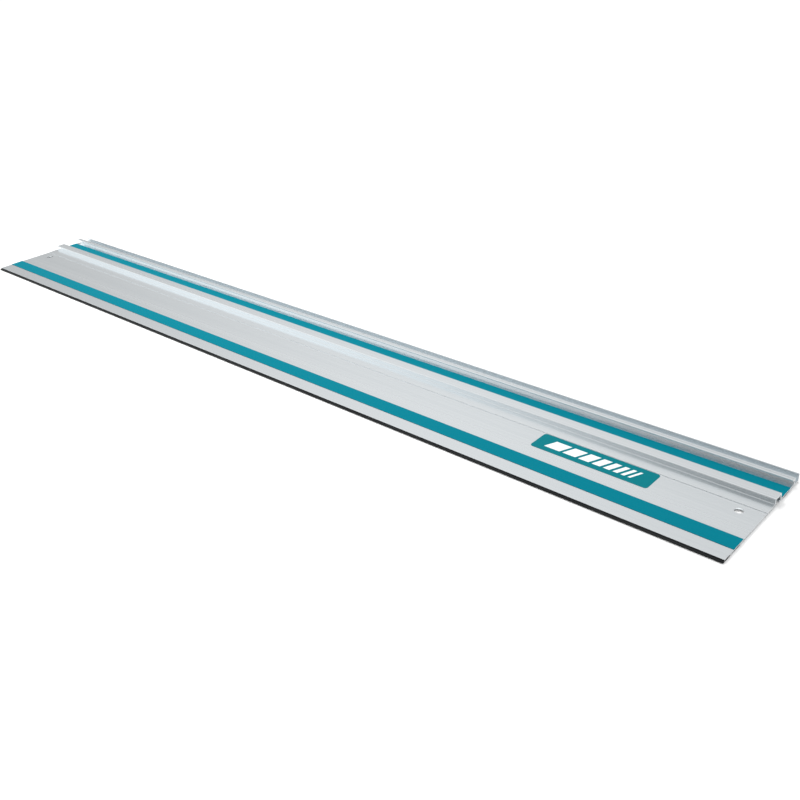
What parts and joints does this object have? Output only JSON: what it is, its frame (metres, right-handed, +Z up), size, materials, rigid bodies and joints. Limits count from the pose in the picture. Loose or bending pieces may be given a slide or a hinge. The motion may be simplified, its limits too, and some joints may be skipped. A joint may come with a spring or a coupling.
{
  "type": "saw guide rail",
  "caption": "Long flat aluminium guide rail for a track plunge saw, with a hollow guide rib, rear channel, glide and grip strips, rubber splinter guard and plain badge.",
  "frame": {"origin": "centre of the footprint, on the plane that the grip strips rest on", "axes": "+X along the rail towards the badge's end, +Y from the splinter guard towards the rear channel, +Z up"},
  "size_m": [1.4, 0.1812, 0.0106],
  "materials": {
    "anodised_aluminium": "clear satin anodised, with fine lines along the extrusion",
    "guard_rubber": "matt black",
    "glide_plastic": "satin blue-green, low friction",
    "grip_foam": "matt black closed-cell foam",
    "badge_film": "satin printed film, blue-green with a white edge line"
  },
  "bodies": {
    "root": {"rail_extrusion": "anodised_aluminium", "splinter_guard": "guard_rubber", "front_glide_strip": "glide_plastic", "rear_glide_strip": "glide_plastic", "front_grip_strip": "grip_foam", "rear_grip_strip": "grip_foam", "badge": "badge_film"}
  },
  "joints": []
}
